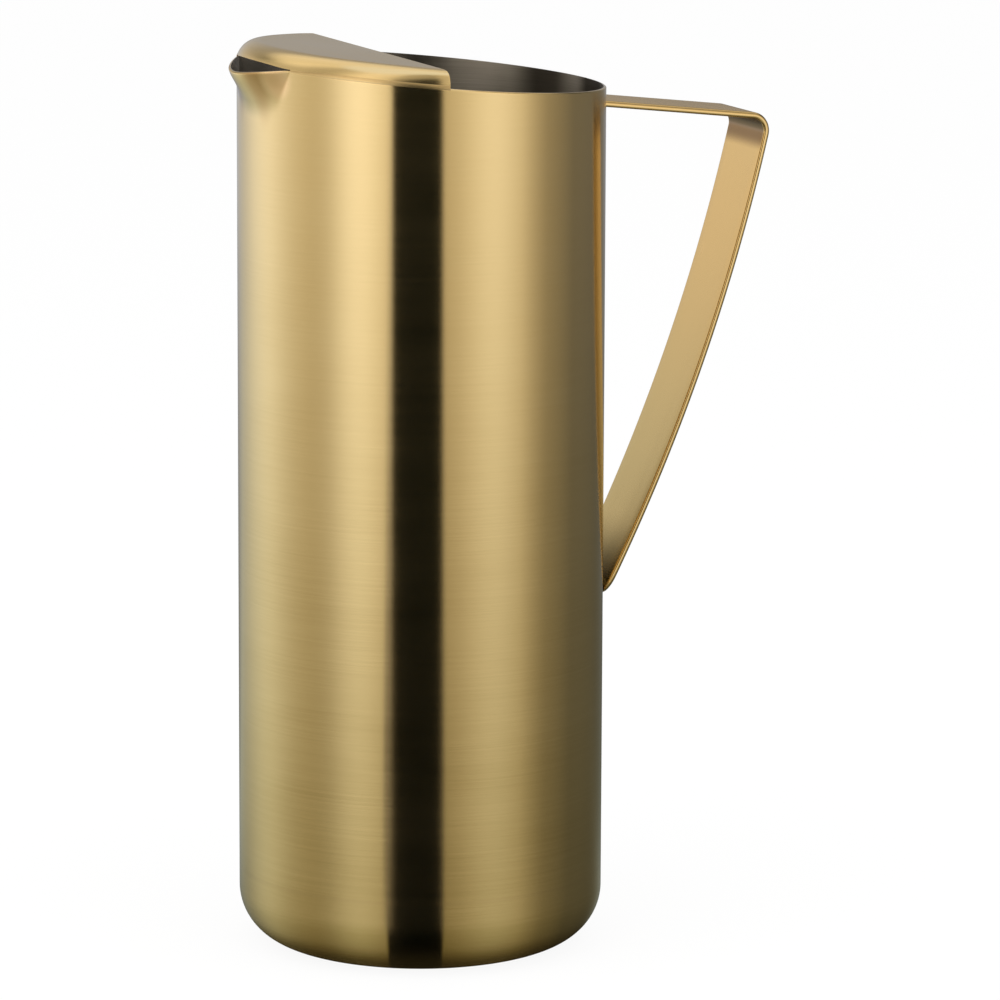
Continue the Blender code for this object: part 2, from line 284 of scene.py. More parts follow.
# Painted light and shade: a point, how much each direction counts, where it is full and gone, its colour and
# its share.
# Painted shade and highlight on the spout's flanks, standing in for the light they mirror.
spout_painted_light = [mark for side in (-1, 1) for mark in (
    ((-0.0550, side * 0.0083, 0.2530), (0.5, 1, 0.4), 0.001, 0.006, RIDGE_PAINTED_SHADE, 0.9),
    ((-0.0512, side * 0.0150, 0.2540), (0.5, 1, 1), 0.002, 0.006, CREASE_PAINTED_HIGHLIGHT, 1.0))]
UPRIGHT, INSIDE_SHADE_PAINT = (1, 1, 0), (0.06, 0.05, 0.04)   # painted dark upright bands of reflection down the inside
inside_shade_bands = [((x, y, 0), UPRIGHT, full, gone, INSIDE_SHADE_PAINT, share) for x, y, full, gone, share in (
    (0.0480, 0.0193, 0.003, 0.014, 0.85),
    (0.0514, -0.0060, 0.005, 0.012, 0.92),
    (0.0163, 0.0490, 0.003, 0.012, 0.7))]
sheet_gold = brushed_metal(
    "sheet_gold", GOLD_DEEP, GOLD_PALE, SATIN, ROUND_THE_AXIS, UPRIGHT_BLUR, relief=0.6, painted_light=spout_painted_light)
bare_steel = brushed_metal(
    "bare_steel", STEEL_DEEP, STEEL_PALE, BARE, ROUND_THE_AXIS, UPRIGHT_BLUR, anisotropy=0.9, mottle=1.6,
    painted_light=inside_shade_bands)
outside_rows = WALL_ROWS + SPOUT_ROWS
tube_inside = range(outside_rows + RIM_STEPS - 2, 2 * outside_rows + RIM_STEPS - 1)
body_tube = skin("brushed_tube", tube_wall(), (sheet_gold, bare_steel), [tube_inside])
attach(body_tube, "root")
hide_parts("body_tube")

# Side seam
# The weld that closes the rolled sheet, on the handle side. It is ground flush and brushed with the wall,
# so only a faint line at either side and a trace of its ripples are left.
SEAM_SINK = 0.00004                              # the weld's edges lie this much below the wall
RIPPLE, RIPPLE_PITCH = 0.00001, 0.0016           # half the depth of a ripple, and its length
SEAM_STEPS, CROWN_POINTS = 500, 7                # up the wall, and across the weld
WELD_DEEP, WELD_PALE, WELD_ROUGH = (0.62, 0.46, 0.23), (0.80, 0.63, 0.35), 0.32
SPECKS = (300, 300, 300)                         # a metre: a weld isn't brushed one way
weld_gold = brushed_metal(
    "weld_gold", WELD_DEEP, WELD_PALE, WELD_ROUGH, SPECKS, UPRIGHT_BLUR, anisotropy=0.3)


def seam_outline():
    """Outline (across, depth) of a dressed weld: a shallow crown on the outside and a flat inside.

    across runs from -1 to 1 and back, and depth is 0 on the crown, SEAM_SINK at its edges.
    """
    across = np.linspace(-1, 1, CROWN_POINTS)
    depth = SEAM_SINK * across ** 2
    return np.concatenate((across, across[::-1])), np.concatenate((depth, np.full(CROWN_POINTS, SHEET)))


seam_across, seam_depth = seam_outline()
on_crown = seam_depth < SHEET
seam_inside = range(CROWN_POINTS, 2 * CROWN_POINTS - 1)


def seam_strip():
    """Grid up the wall: stations by outline, on the tube's own curve, from the base seam to the rim.

    Each point lies its depth below the wall, and on the crown a cosine ripple lowers it a little more.
    """
    rise = np.linspace(0, 1, SEAM_STEPS)[:, None]
    ripples = rise * (RIM_ON_AXIS - GIRTH) / RIPPLE_PITCH
    wave = RIPPLE * (1 - np.cos(2 * math.pi * ripples)) * on_crown
    y = np.broadcast_to(-seam_across * SEAM / 2, (SEAM_STEPS, len(seam_across)))
    x = np.sqrt(TUBE_RADIUS ** 2 - y ** 2) - seam_depth - wave
    foot = GIRTH + SEAM / 2
    top = rim_height(x) - LIP * (1 - seam_depth / SHEET)
    return np.stack((x, y, foot + (top - foot) * rise), axis=-1)


side_seam = skin("side_seam", seam_strip(), (weld_gold, bare_steel), [seam_inside])
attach(side_seam, "root")
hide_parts("side_seam_weld")

# Base pan
# Shallow pan drawn from the same sheet: a flat underside to stand on, a generous rounded corner and a short
# wall that meets the tube. Brushed and coated with the body.
PAN_CORNER = 0.016                               # outside radius of the corner
PAN_TURNS, FLOOR_POINTS, CORNER_STEPS, PAN_ROWS = 288, 6, 26, 6


def arc(centre, radius, start, end, steps):
    """Points (x, z) at even angles round a circle, both ends included."""
    bend = np.linspace(start, end, steps)
    return np.stack((centre[0] + radius * np.cos(bend), centre[1] + radius * np.sin(bend)), axis=-1)


def pan_outlines():
    """Outlines (radius, height) of the pan: outside from the axis up to the seam, and inside back again.

    Each is a level line, a quarter of a circle about the same centre and a short upright.
    """
    top = GIRTH - SEAM / 2
    centre = (TUBE_RADIUS - PAN_CORNER, PAN_CORNER)
    level = np.linspace(0, centre[0], FLOOR_POINTS, endpoint=False)
    upright = np.linspace(PAN_CORNER, top, PAN_ROWS + 1)[1:]
    outside = np.concatenate((
        np.stack((level, np.zeros(FLOOR_POINTS)), axis=-1),
        arc(centre, PAN_CORNER, -math.pi / 2, 0, CORNER_STEPS),
        np.stack((np.full(PAN_ROWS, TUBE_RADIUS), upright), axis=-1)))
    inside = np.concatenate((
        [(TUBE_RADIUS - SHEET, top)],
        arc(centre, PAN_CORNER - SHEET, 0, -math.pi / 2, CORNER_STEPS),
        np.stack((level[::-1], np.full(FLOOR_POINTS, SHEET)), axis=-1)))
    return outside, inside


def turned(outline):
    """Grid of an outline of (radius, height) points turned round the axis: turns by outline."""
    turn = np.linspace(0, 2 * math.pi, PAN_TURNS, endpoint=False)[:, None]
    radius = outline[:, 0]
    height = np.broadcast_to(outline[:, 1], (PAN_TURNS, len(outline)))
    return np.stack((radius * np.cos(turn), radius * np.sin(turn), height), axis=-1)


pan_outside, pan_inside = pan_outlines()
inner_places = range(len(pan_outside), len(pan_outside) + len(pan_inside) - 1)
base_pan = skin("drawn_pan", turned(np.concatenate((pan_outside, pan_inside))), (sheet_gold, bare_steel),
                [inner_places], ring=True)
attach(base_pan, "root")
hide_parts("base_pan")

# Base seam
# The ring weld between pan and tube, ground flush and brushed with them under the same coating. Only a faint
# line round the foot of the body is left of it.
RING_DEEP, RING_PALE, RING_ROUGH = (0.71, 0.547, 0.278), (0.83, 0.66, 0.373), 0.20
ring_gold = brushed_metal("ring_gold", RING_DEEP, RING_PALE, RING_ROUGH, ROUND_THE_AXIS, UPRIGHT_BLUR)
ring_radius = np.where(on_crown, TUBE_RADIUS, TUBE_RADIUS - SHEET)
ring_outline = np.stack((ring_radius, GIRTH + seam_across * SEAM / 2), axis=-1)
base_seam = skin("base_seam", turned(ring_outline), (ring_gold, bare_steel), [seam_inside], ring=True)
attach(base_seam, "root")
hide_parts("base_girth_weld")

# Ice guard
# A half cap pressed from sheet that holds ice back while pouring. Its flat top leans with the rim, its rolled
# skirt stands on the rim at both sides of the spout, and its straight open edge is a plain cut.
GUARD_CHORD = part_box("ice_guard")[1].x           # the open edge lies across the mouth here
GUARD_RISE = 0.00496                             # top above the rim's plane
GUARD_SEAT, SEAT_DIP = 0.0009, 0.65              # edge of the skirt above the rim, and its dip at the creases
DIP_REACH = math.radians(10)                     # how far the dip spreads round the rim
GUARD_INSET = 0.00025                            # foot of the skirt inside the rim's edge
ROLL_SIDE, ROLL_SPOUT = 0.0060, 0.0068           # width of the rolled skirt: open edge, spout
ROLL_END = math.radians(69)                      # how far the skirt has turned down at its foot
SQUARE, SQUARE_REACH = 1.6, math.radians(12)     # the roll is squarer near the open edge
GUARD_TURNS, TOP_STEPS, ROLL_STEPS = 180, 24, 20
GUARD_ROUGH, GUARD_GRAIN = 0.20, (500, 10, 500)  # the top is brushed along the open edge
SKIRT_ROUGH, SKIRT_GRAIN = 0.22, (GRAIN_LENGTH, GRAIN_LENGTH, 900)
guard_gold = brushed_metal(
    "guard_gold", GOLD_DEEP, GOLD_PALE, GUARD_ROUGH, GUARD_GRAIN, UPRIGHT_BLUR, anisotropy=0.3, relief=0.3,
    hairs=0.4)
skirt_gold = brushed_metal(
    "skirt_gold", GOLD_DEEP, GOLD_PALE, SKIRT_ROUGH, SKIRT_GRAIN, UPRIGHT_BLUR, anisotropy=0.8)
half_turn = math.acos(-GUARD_CHORD / (TUBE_RADIUS - GUARD_INSET))   # from the spout to the open edge


def seat_height(turn):
    """Height of the skirt's edge above the rim's plane, with a dip at each crease of the spout."""
    aside = np.abs(turn - math.pi) - SPOUT_ANGLE
    return GUARD_SEAT * (1 - SEAT_DIP * np.exp(-(aside / DIP_REACH) ** 2))


def guard_side(inset, turn):
    """Grid of one side of the cap: turns by outline, from the open edge out to the foot of the skirt.

    In each half plane the top is level from the open edge to the roll, and the roll is the first part of a
    quarter of a superellipse, squarer near the open edge. Where the cut lies in the roll, the outline starts
    part of the way round it. inset moves the side in by that much all round.
    """
    aside = np.abs(turn - math.pi)
    power = 2 + SQUARE * np.exp(-((half_turn - aside) / SQUARE_REACH) ** 2)
    roll = ROLL_SIDE + (ROLL_SPOUT - ROLL_SIDE) * np.cos(aside) ** 2 - inset
    hub = TUBE_RADIUS - GUARD_INSET - inset - roll
    start = np.minimum(GUARD_CHORD / np.cos(turn), hub + roll)
    begun = np.clip((start - hub) / roll, 0, 1)
    first = np.arcsin(math.sin(ROLL_END) * begun ** (power / 2))
    top = start + (np.maximum(start, hub) - start) * np.linspace(0, 1, TOP_STEPS, endpoint=False)
    bend = first + (ROLL_END - first) * np.linspace(0, 1, ROLL_STEPS)
    out = np.concatenate((top, hub + roll * (np.sin(bend) / math.sin(ROLL_END)) ** (2 / power)), axis=1)
    bend = np.concatenate((np.broadcast_to(first, top.shape), bend), axis=1)
    left = np.clip((np.cos(bend) - math.cos(ROLL_END)) / (1 - math.cos(ROLL_END)), 0, 1) ** (2 / power)
    seat = seat_height(turn)
    x, y = out * np.cos(turn), out * np.sin(turn)
    return np.stack((x, y, rim_height(x) + seat + (GUARD_RISE - inset - seat) * left), axis=-1)


guard_turn = math.pi + half_turn * np.sin(np.linspace(-math.pi / 2, math.pi / 2, GUARD_TURNS))[:, None]
guard_points = np.concatenate((guard_side(SHEET, guard_turn), guard_side(0, guard_turn)[:, ::-1]), axis=1)
guard_steps = TOP_STEPS + ROLL_STEPS
guard_under = range(guard_steps - 1)
guard_skirt = range(guard_steps - 1, guard_steps + ROLL_STEPS - 1)
ice_guard = skin("pressed_guard", guard_points, (guard_gold, bare_steel, skirt_gold),
                 [guard_under, guard_skirt])
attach(ice_guard, "root")
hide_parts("ice_guard")

# Guard welds
# Two thin runs that fill the joint between skirt and rim, from the open edge to the spout's creases. They are
# brushed over with the skirt, and their low crown draws a bright line along the joint.
RUN_STEPS = 160
RUN_CROWN = 0.00009                              # height of the crown


def guard_run(start, end):
    """Grid along the rim: stations by outline, a low crowned run that leans in from the rim to the skirt."""
    turn = np.linspace(start, end, RUN_STEPS)[:, None]
    rise = (1 + seam_across) / 2
    crown = np.where(on_crown, RUN_CROWN * (1 - seam_across ** 2), -SHEET)
    radius = TUBE_RADIUS - GUARD_INSET * rise + crown
    x, y = radius * np.cos(turn), radius * np.sin(turn)
    return np.stack((x, y, rim_height(x) - LIP + (LIP + seat_height(turn)) * rise), axis=-1)


for name, node, start, end in (
        ("guard_run_left", "guard_weld_left", math.pi - half_turn, math.pi - SPOUT_ANGLE),
        ("guard_run_right", "guard_weld_right", math.pi + SPOUT_ANGLE, math.pi + half_turn)):
    run = skin(name, guard_run(start, end), (weld_gold,))
    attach(run, "root")
    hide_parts(node)

# Handle strap
# One flat bar, brushed lengthwise, bent once over a small radius and bowed along the grip. Its long edges are
# eased, and both ends are cut to the curve of the wall.
STRAP_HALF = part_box("handle_strap")[1].y
STRAP_THICK = 0.0018
OUTER_EASE, INNER_EASE, EDGE_STEPS = 0.0009, 0.0007, 8   # rounding of the long edges
FACE_POINTS = 7                                  # across each face of the bar
STRAP_FALL = math.radians(6.9)                   # the top run falls outwards
STRAP_DROP = 0.0053                              # top of the strap below the rim, at the wall
STRAP_TOP = rim_height(TUBE_RADIUS) - STRAP_DROP
STRAP_REACH = 0.0542                             # from the wall to the sharp corner of the bend
BEND_INSIDE = 0.0038                             # inside radius of the bend
BEND = BEND_INSIDE + STRAP_THICK                 # outside radius of the bend
GRIP_LEAN = math.radians(13.6)                   # from upright, just under the bend
GRIP_BOW = 0.540                                 # radius of the grip's outer face
RUN_ROWS, BEND_ROWS, GRIP_ROWS, NOSE_ROWS = 30, 24, 110, 9
FOOT_NOSE = 0.0050                               # rounding of the outer corner at the foot
FOOT_ROUND = 0.0062                              # radius of the foot's two corners, seen from the front
STRAP_DEEP, STRAP_PALE = (0.72, 0.525, 0.242), (0.81, 0.61, 0.305)
STRAP_ROUGH, LENGTHWISE = 0.25, (3, 130, 3)      # streaks a metre
EDGE_ROUGH, EDGE_SPECKS = 0.18, (40, 40, 40)     # the eased edges are smooth
SIDEWAYS_BLUR = 0.0                              # no turn: gloss spreads across the brushing here too
GRIP_PAINTED_TINT, GRIP_TINT_FULL, GRIP_TINT_REACH = (0.585, 0.54, 0.30), 0.03, 0.12    # painted reflection: a greener, darker tint over the lower grip, for the table it mirrors
FOOT_PAINTED_SHADE, FOOT_SHADE_FULL, FOOT_SHADE_REACH = (0.075, 0.062, 0.020), 0.003, 0.025   # painted shade on the inner face by the foot, where it mirrors the dark wall
BEND_PAINTED_SHADE = (0.27, 0.18, 0.095)                  # painted shade inside the bend
ACROSS = (1, 0, 1)                               # a stain that runs right across the strap

fall = np.array((math.cos(STRAP_FALL), -math.sin(STRAP_FALL)))
lean = np.array((math.sin(GRIP_LEAN), math.cos(GRIP_LEAN)))
setback = BEND * math.tan((math.pi / 2 - STRAP_FALL + GRIP_LEAN) / 2)
bend_corner = np.array((TUBE_RADIUS + STRAP_REACH, STRAP_TOP - STRAP_REACH * math.tan(STRAP_FALL)))
bend_start = bend_corner - setback * fall
bend_centre = bend_start - BEND * np.array((math.sin(STRAP_FALL), math.cos(STRAP_FALL)))
grip_start = bend_corner - setback * lean
grip_centre = grip_start - GRIP_BOW * np.array((math.cos(GRIP_LEAN), -math.sin(GRIP_LEAN)))
foot_height = grip_centre[1] - math.sqrt((GRIP_BOW - STRAP_THICK) ** 2 - (TUBE_RADIUS - grip_centre[0]) ** 2)


def bar_outline():
    """Outline (across, depth) of a flat bar, its long edges eased by quarter circles on either face.

    depth is measured from the outer face.
    """
    bend = np.linspace(0, math.pi / 2, EDGE_STEPS)
    side = np.concatenate((
        STRAP_HALF - OUTER_EASE + OUTER_EASE * np.sin(bend),
        STRAP_HALF - INNER_EASE + INNER_EASE * np.cos(bend)))
    deep = np.concatenate((
        OUTER_EASE - OUTER_EASE * np.cos(bend),
        STRAP_THICK - INNER_EASE + INNER_EASE * np.sin(bend)))
    flat = np.linspace(-1, 1, FACE_POINTS + 2)[1:-1] * (STRAP_HALF - OUTER_EASE)
    return (np.concatenate((flat, side, flat[::-1], -side[::-1])),
            np.concatenate((np.zeros(FACE_POINTS), deep, np.full(FACE_POINTS, STRAP_THICK), deep[::-1])))


def strap_grid(across, depth):
    """Grid along the strap: stations by outline, from the wall over the top run and the bend, down the grip.

    The top run is a straight line, the bend and the grip are arcs, and each outline point keeps its depth
    below the outer face. The first station and the foot's inner edge lie on the tube's own curve, the outer
    corner of the foot is rounded off to meet it, and so are its corners at either side.
    """
    wall = np.sqrt(TUBE_RADIUS ** 2 - across ** 2)
    run_end = bend_start[0] - depth * math.sin(STRAP_FALL)
    run_x = wall + (run_end - wall) * np.linspace(0, 1, RUN_ROWS, endpoint=False)[:, None]
    run_z = STRAP_TOP - (run_x - TUBE_RADIUS) * math.tan(STRAP_FALL) - depth / math.cos(STRAP_FALL)
    bend = np.linspace(math.pi / 2 - STRAP_FALL, -GRIP_LEAN, BEND_ROWS, endpoint=False)[:, None]
    bend_x = bend_centre[0] + (BEND - depth) * np.cos(bend)
    bend_z = bend_centre[1] + (BEND - depth) * np.sin(bend)
    past = np.clip(np.abs(across) - (STRAP_HALF - FOOT_ROUND), 0, None)
    short = FOOT_ROUND - np.sqrt(FOOT_ROUND ** 2 - past ** 2)
    last = short / GRIP_BOW - np.arccos((wall - grip_centre[0]) / (GRIP_BOW - STRAP_THICK))
    nose = last + FOOT_NOSE / GRIP_BOW
    sweep = -GRIP_LEAN + (nose + GRIP_LEAN) * np.linspace(0, 1, GRIP_ROWS, endpoint=False)[:, None]
    round_off = np.linspace(0, math.pi / 2, NOSE_ROWS)[:, None]
    sweep = np.concatenate((sweep, nose + (last - nose) * np.sin(round_off)))
    deep = np.concatenate((
        np.broadcast_to(depth, (GRIP_ROWS, len(depth))),
        depth + (STRAP_THICK - depth) * (1 - np.cos(round_off))))
    grip_x = grip_centre[0] + (GRIP_BOW - deep) * np.cos(sweep)
    grip_z = grip_centre[1] + (GRIP_BOW - deep) * np.sin(sweep)
    x, z = np.concatenate((run_x, bend_x, grip_x)), np.concatenate((run_z, bend_z, grip_z))
    return np.stack((x, np.broadcast_to(across, x.shape), z), axis=-1)


strap_foot = (TUBE_RADIUS, 0, foot_height)
# Painted light on the strap: a greener reflection tint on the lower grip, shade by the foot and shade inside
# the bend.
strap_painted_light = (
    (strap_foot, ACROSS, GRIP_TINT_FULL, GRIP_TINT_REACH, GRIP_PAINTED_TINT, 0.6),
    (strap_foot, ACROSS, FOOT_SHADE_FULL, FOOT_SHADE_REACH, FOOT_PAINTED_SHADE, 0.95),
    ((bend_centre[0], 0, bend_centre[1]), ACROSS, BEND_INSIDE, BEND + STRAP_THICK / 2, BEND_PAINTED_SHADE, 1.0))
strap_gold = brushed_metal(
    "strap_gold", STRAP_DEEP, STRAP_PALE, STRAP_ROUGH, LENGTHWISE, SIDEWAYS_BLUR, anisotropy=0.7, relief=0.3,
    hairs=0.3, painted_light=strap_painted_light)
edge_gold = brushed_metal(
    "edge_gold", STRAP_DEEP, STRAP_PALE, EDGE_ROUGH, EDGE_SPECKS, SIDEWAYS_BLUR, anisotropy=0.0)
edge_points = 2 * EDGE_STEPS
long_edges = [start + step for start in (FACE_POINTS, 2 * FACE_POINTS + edge_points)
              for step in range(edge_points - 1)]
strap = skin("strap_handle", strap_grid(*bar_outline()), (strap_gold, edge_gold), [long_edges])
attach(strap, "root")
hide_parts("handle_strap")

# Handle welds
# Fillet runs above and below the strap's top end, and inside and outside its foot. They are laid by hand, so
# their ripples stay, and they touch both the wall and the bar.
FILLET = 0.0011                                  # radius of a run
FILLET_PITCH, FILLET_RIPPLE = 0.0012, 0.05       # length of two ripples, and their share of the radius
FILLET_END = 0.08                                # share of a half run over which it rounds off
FILLET_STEPS, FILLET_SIDES = 120, 14


def fillet_run(height, half):
    """Grid along a weld run: stations by outline, a bead that keeps one radius off the wall and the strap.

    height gives the bead's middle for its distance from the axis, and half is half its length. The bead's
    radius swells with each ripple and rounds off at both ends.
    """
    share = np.linspace(-1, 1, FILLET_STEPS)[:, None]
    y = share * half
    x = np.sqrt((TUBE_RADIUS + FILLET) ** 2 - y ** 2)
    ripple = 1 - FILLET_RIPPLE * np.cos(2 * math.pi * y / FILLET_PITCH) ** 2
    ends = np.sqrt(1 - np.clip((np.abs(share) - (1 - FILLET_END)) / FILLET_END, 0, 1) ** 2)
    size = FILLET * ripple * ends
    turn = np.linspace(0, 2 * math.pi, FILLET_SIDES, endpoint=False)
    y = np.broadcast_to(y, (FILLET_STEPS, FILLET_SIDES))
    return np.stack((x + size * np.cos(turn), y, height(x) + size * np.sin(turn)), axis=-1)


def top_line(offset):
    """Height of a line along the top run, offset above the strap's top face."""
    return lambda x: STRAP_TOP - (x - TUBE_RADIUS) * math.tan(STRAP_FALL) + offset / math.cos(STRAP_FALL)


def foot_line(offset):
    """Height of an arc along the grip's foot, offset beyond the grip's outer face."""
    return lambda x: grip_centre[1] - np.sqrt((GRIP_BOW + offset) ** 2 - (x - grip_centre[0]) ** 2)


upper_half = STRAP_HALF - OUTER_EASE - FILLET
lower_half = STRAP_HALF - FOOT_ROUND / 2
for name, node, height, half in (
        ("upper_run_top", "handle_upper_weld_top", top_line(FILLET), upper_half),
        ("upper_run_under", "handle_upper_weld_under", top_line(-STRAP_THICK - FILLET), upper_half),
        ("lower_run_inner", "handle_lower_weld_inner", foot_line(-STRAP_THICK - FILLET), lower_half),
        ("lower_run_outer", "handle_lower_weld_outer", foot_line(FILLET - STRAP_THICK), lower_half)):
    run = skin(name, fillet_run(height, half), (weld_gold,))
    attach(run, "root")
    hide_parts(node)

# Table
# A plain white table top, wider than the view. The camera and the metal see it as white, and it keeps the
# pitcher's soft shadow.
FLOOR_SIZE, FLOOR_WHITE = 14.0, 0.9
FLOOR_SHARE = 0.92                               # of plain white in what is seen, beside the shadow


def bare_tree(owner):
    """The node tree of a material or a world, emptied for wiring."""
    owner.use_nodes = True
    owner.node_tree.nodes.clear()
    return Wire(owner.node_tree)


def seen(wire):
    """1 for what the camera, a reflection or glass sees, 0 for light that falls on the object."""
    camera_ray, glossy_ray, glass_ray = (
        wire.node("ShaderNodeLightPath", out=out)
        for out in ("Is Camera Ray", "Is Glossy Ray", "Is Transmission Ray"))
    settings = {"operation": "ADD", "use_clamp": True}
    return wire.node("ShaderNodeMath", settings, {0: camera_ray + glossy_ray, 1: glass_ray})


edge = FLOOR_SIZE / 2
floor_corners = [(-edge, -edge, 0), (edge, -edge, 0), (edge, edge, 0), (-edge, edge, 0)]
floor_mesh = bpy.data.meshes.new("table")
floor_mesh.from_pydata(floor_corners, [], [(0, 1, 2, 3)])
floor = bpy.data.objects.new("table", floor_mesh)
bpy.context.scene.collection.objects.link(floor)
table_white = bpy.data.materials.new("table_white")
wire = bare_tree(table_white)
matt = wire.node("ShaderNodeBsdfDiffuse", {}, {"Color": (FLOOR_WHITE,) * 3 + (1,)})
white = wire.node("ShaderNodeEmission", {}, {"Color": (1, 1, 1, 1), "Strength": 1.0})
mix = wire.node("ShaderNodeMixShader", {}, {0: FLOOR_SHARE * seen(wire), 1: matt, 2: white})
wire.node("ShaderNodeOutputMaterial", {}, {"Surface": mix})
floor_mesh.materials.append(table_white)

# Studio cards
# A round of cards on the table and upright round it, which only shine in the metal: soft white boxes at the
# left and the right, cream between them, and a black flag round the camera that draws the dark upright band.
CAMERA_AZIMUTH = math.radians(24.1)              # from -Y towards the spout
TO_CAMERA = -math.pi / 2 - CAMERA_AZIMUTH
CARD_RADIUS, CARD_TOP, CARD_HOLE = 1.6, 4.0, 0.038   # the hole lies under the pitcher
CARD_FOOT, CARD_BEND = 0.0004, 0.08              # the cards lie just over the table and turn up at their rim
CARD_COLUMNS, TABLE_RINGS, CARD_ROWS = 721, 60, 24

# All azimuths are in degrees to the right of the camera, heights and reaches in metres.
CREAM, COOL = np.array((1.0, 0.88, 0.66)), np.array((0.88, 1.0, 1.25))
WARM, MELLOW = np.array((1.08, 0.915, 0.755)), np.array((1.085, 0.925, 0.77))
PLAIN = np.array((1.03, 1.0, 0.99))
FILL_AT = (-180, -150, -110, -80, -60, -18, 15, 30, 65, 85, 110, 150)
FILL = (0.07, 0.26, 0.62, 0.75, 0.73, 0.95, 0.76, 0.82, 0.79, 0.40, 0.165, 0.11)
BOXES = (                                        # middle, half width, level and upper colour
    (-170, 30, 0.36, PLAIN),
    (-117, 29, 0.68, MELLOW),
    (-40, 19, 0.73, WARM),
    (46, 20, 0.48, WARM),
    (118, 30, 0.06, COOL))
RIPE = 0.5                                       # height where the soft boxes have their upper colour
FADE_FROM, FADE_TO = 0.33, 0.93                  # heights over which light is lost
FADE_AT = (0, 90, 131, 150, 180)                 # azimuths, to either side
FADE = (0.20, 0.42, 0.75, 0.45, 0.20)            # and the share that is lost there
FADE_TINT = np.array((1.01, 0.985, 1.0))
CEILING = np.array((0.62, 0.55, 0.44))           # light high up at the back
CEILING_FROM, CEILING_TO = 1.25, 1.6             # heights where it sets in and where it is full
CEILING_SIDE, CEILING_BACK = 90, 110             # and the azimuths, to either side
FLAG_LEFT, FLAG_RIGHT, FLAG_EDGE = -17.5, 13.0, 0.6   # the black flag's edges, and their softness
LEAN_AT = (0, 0.86, 0.95)                        # nearness to the axis
LEAN_LEFT, LEAN_RIGHT = (0, 6.4, 3.2), (0, 2.2, 1.4)     # and the degrees that the edges lean out there
FLAG_BLACK = np.array((0.0001, 0.0022, 0.0016))
FLAG_TOP, FLAG_SOFT = 1.0, 0.2                   # height of its thick part, and how softly that ends
FLAG_THIN = 0.7                                  # share of the light that comes through above it
NEAR_FRONT = 0.17 * np.array((0.97, 0.91, 0.34))     # light of the table close to the pitcher
NEAR_SIDE = 0.63 * np.array((1.0, 1.04, 0.81))
NEAR_BACK = 0.08 * np.array((1.0, 0.8, 0.6))
NEAR_AT = (-180, -148, -120, -75, -35, 0, 75, 130, 180)
NEAR_SHARE = (0.0, 1.05, 0.63, 0.27, 0.09, 0.0, 0.35, 0.75, 0.0)     # how much of a side is there
BACK_FROM, BACK_TO = 150, 180                    # azimuths over which the back takes over, to either side
NEAR_CURVE, NEAR_MOST = 0.72, 0.88               # power of the nearness, and the most that counts
CONTACT_AT = (0.042, 0.046, 0.050, 0.054, 0.070)     # reach from the axis, and the light left round the foot
CONTACT = (0.05, 0.14, 0.38, 0.78, 1.0)
CONTACT_WARM = np.array((1.0, 1.08, 1.35))       # the shade is deepest in the blue
CONTACT_GLOW, GLOW_CURVE = np.array((0.018, 0.015, 0.008)), 1.5      # light that the gold throws back there
CONTACT_TURN, CONTACT_REACH = 0.07, 0.018        # what the foot adds to the mirrored share, and how far


def ramp(value, start, end):
    """0 up to start, 1 from end on, and a straight line between them."""
    return np.clip((value - start) / (end - start), 0, 1)


def card_light(azimuth, height, near):
    """Light of the cards at an azimuth and a height, near as a share of the way from their rim to the axis.

    A cream fill that runs straight between a few levels, plus bell curves for the soft boxes, which are cool
    below and take their own colour above. All of it fades upwards, most at the sides of the back, and light
    from the ceiling comes in high up there. The black flag cuts it off with two smooth steps, which lean
    out near the pitcher, and above the flag's soft upper edge most of the light comes through.
    """
    rise = ramp(height, 0, RIPE)[..., None]
    light = np.interp(azimuth, FILL_AT, FILL, period=360)[..., None] * CREAM
    for middle, half, level, upper in BOXES:
        bell = level * np.exp(-((azimuth - middle + 180) % 360 - 180) ** 2 / half ** 2)
        light = light + bell[..., None] * (COOL + (upper - COOL) * rise)
    fade = np.interp(np.abs(azimuth), FADE_AT, FADE) * ramp(height, FADE_FROM, FADE_TO)
    light = light * (1 - FADE_TINT * fade[..., None])
    above = ramp(height, CEILING_FROM, CEILING_TO) * ramp(np.abs(azimuth), CEILING_SIDE, CEILING_BACK)
    light = light + CEILING * above[..., None]
    left = np.tanh((azimuth - FLAG_LEFT + np.interp(near, LEAN_AT, LEAN_LEFT)) / FLAG_EDGE)
    right = np.tanh((azimuth - FLAG_RIGHT - np.interp(near, LEAN_AT, LEAN_RIGHT)) / FLAG_EDGE)
    over = (1 + np.tanh((height - FLAG_TOP) / FLAG_SOFT)) / 2
    flag = ((left - right) / 2 * (1 - FLAG_THIN * over))[..., None]
    return light * (1 - flag) + FLAG_BLACK * flag


def table_falloff(azimuth, near):
    """Share of the light that is left where the cards lie on the table, by how near to the axis they are.

    1 less a power of the nearness, down to a level that runs straight between that of the front, those of the
    sides and that of the back.
    """
    level = NEAR_FRONT + (NEAR_SIDE - NEAR_FRONT) * np.interp(azimuth, NEAR_AT, NEAR_SHARE)[..., None]
    level = level + (NEAR_BACK - level) * ramp(np.abs(azimuth), BACK_FROM, BACK_TO)[..., None]
    return 1 - (1 - level) * np.clip(near, 0, NEAR_MOST)[:, None] ** NEAR_CURVE


def mirrored(azimuth, reach):
    """Azimuth that the wall mirrors a point of the cards to, from the point's own azimuth about the axis.

    Far away the two are the same, and at the wall a point lies at half the azimuth that it is mirrored to. A
    little is added to that share close to the foot, where the pan's corner turns under.
    """
    share = 1 - TUBE_RADIUS / (2 * np.maximum(reach, TUBE_RADIUS))
    share = share + CONTACT_TURN * np.exp(-np.clip(reach - TUBE_RADIUS, 0, None) / CONTACT_REACH)
    return np.clip(azimuth / share, -180, 180)


